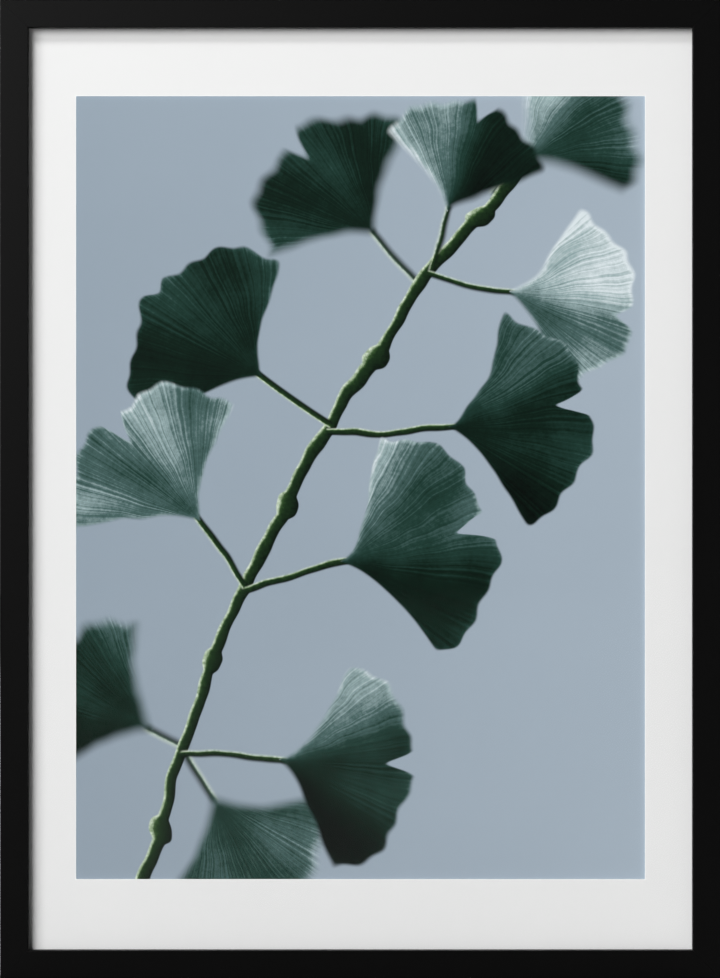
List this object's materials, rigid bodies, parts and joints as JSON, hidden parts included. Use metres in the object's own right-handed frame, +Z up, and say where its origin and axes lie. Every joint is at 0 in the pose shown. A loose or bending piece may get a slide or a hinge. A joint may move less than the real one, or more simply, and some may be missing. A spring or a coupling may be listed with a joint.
{
  "type": "framed print",
  "caption": "Upright rectangular wall picture: flat black mitred frame, white mat, botanical print behind a clear sheet, back panel held by turn buttons.",
  "frame": {"origin": "middle of the width and of the whole depth, on the frame's underside", "axes": "+Z up along the tall side, -Y out of the picture's front, +X to the right as seen from the front"},
  "size_m": [0.54, 0.0238, 0.7335],
  "materials": {
    "black_lacquer": "matte black lacquer",
    "clear_sheet": "clear, polished",
    "mat_white": "white matt face, white core",
    "print_paper": "matt photographic paper",
    "board_white": "white paper face",
    "fibreboard": "smooth brown fibreboard",
    "zinc_steel": "zinc plated",
    "bumper_rubber": "matt black"
  },
  "bodies": {
    "frame": {"rail_bottom": "black_lacquer", "rail_left": "black_lacquer", "rail_top": "black_lacquer", "rail_right": "black_lacquer", "glazing": "clear_sheet", "mat_board": "mat_white", "print_sheet": "print_paper", "backing_board": "board_white", "back_panel": "fibreboard", "v_nail_bottom_left_outer": "zinc_steel", "v_nail_bottom_left_inner": "zinc_steel", "v_nail_bottom_right_outer": "zinc_steel", "v_nail_bottom_right_inner": "zinc_steel", "v_nail_top_left_outer": "zinc_steel", "v_nail_top_left_inner": "zinc_steel", "v_nail_top_right_outer": "zinc_steel", "v_nail_top_right_inner": "zinc_steel", "button_screw_bottom_1": "zinc_steel", "button_screw_bottom_2": "zinc_steel", "button_screw_left_1": "zinc_steel", "button_screw_left_2": "zinc_steel", "button_screw_left_3": "zinc_steel", "button_screw_top_1": "zinc_steel", "button_screw_top_2": "zinc_steel", "button_screw_right_1": "zinc_steel", "button_screw_right_2": "zinc_steel", "button_screw_right_3": "zinc_steel", "sawtooth_hanger": "zinc_steel", "hanger_nail_left": "zinc_steel", "hanger_nail_right": "zinc_steel", "bumper_left": "bumper_rubber", "bumper_right": "bumper_rubber"},
    "button_bottom_1": {"turn_button_bottom_1": "zinc_steel"},
    "button_bottom_2": {"turn_button_bottom_2": "zinc_steel"},
    "button_left_1": {"turn_button_left_1": "zinc_steel"},
    "button_left_2": {"turn_button_left_2": "zinc_steel"},
    "button_left_3": {"turn_button_left_3": "zinc_steel"},
    "button_top_1": {"turn_button_top_1": "zinc_steel"},
    "button_top_2": {"turn_button_top_2": "zinc_steel"},
    "button_right_1": {"turn_button_right_1": "zinc_steel"},
    "button_right_2": {"turn_button_right_2": "zinc_steel"},
    "button_right_3": {"turn_button_right_3": "zinc_steel"}
  },
  "joints": [
    {"name": "button_bottom_1_turn", "type": "hinge", "parent": "frame", "child": "button_bottom_1", "pos_m": [-0.135, 0.0089, 0.0081], "axis": [0, 1, 0], "continuous": true},
    {"name": "button_bottom_2_turn", "type": "hinge", "parent": "frame", "child": "button_bottom_2", "pos_m": [0.135, 0.0089, 0.0081], "axis": [0, 1, 0], "continuous": true},
    {"name": "button_left_1_turn", "type": "hinge", "parent": "frame", "child": "button_left_1", "pos_m": [-0.2619, 0.0089, 0.61125], "axis": [0, 1, 0], "continuous": true},
    {"name": "button_left_2_turn", "type": "hinge", "parent": "frame", "child": "button_left_2", "pos_m": [-0.2619, 0.0089, 0.36675], "axis": [0, 1, 0], "continuous": true},
    {"name": "button_left_3_turn", "type": "hinge", "parent": "frame", "child": "button_left_3", "pos_m": [-0.2619, 0.0089, 0.12225], "axis": [0, 1, 0], "continuous": true},
    {"name": "button_top_1_turn", "type": "hinge", "parent": "frame", "child": "button_top_1", "pos_m": [0.135, 0.0089, 0.7254], "axis": [0, 1, 0], "continuous": true},
    {"name": "button_top_2_turn", "type": "hinge", "parent": "frame", "child": "button_top_2", "pos_m": [-0.135, 0.0089, 0.7254], "axis": [0, 1, 0], "continuous": true},
    {"name": "button_right_1_turn", "type": "hinge", "parent": "frame", "child": "button_right_1", "pos_m": [0.2619, 0.0089, 0.12225], "axis": [0, 1, 0], "continuous": true},
    {"name": "button_right_2_turn", "type": "hinge", "parent": "frame", "child": "button_right_2", "pos_m": [0.2619, 0.0089, 0.36675], "axis": [0, 1, 0], "continuous": true},
    {"name": "button_right_3_turn", "type": "hinge", "parent": "frame", "child": "button_right_3", "pos_m": [0.2619, 0.0089, 0.61125], "axis": [0, 1, 0], "continuous": true}
  ]
}
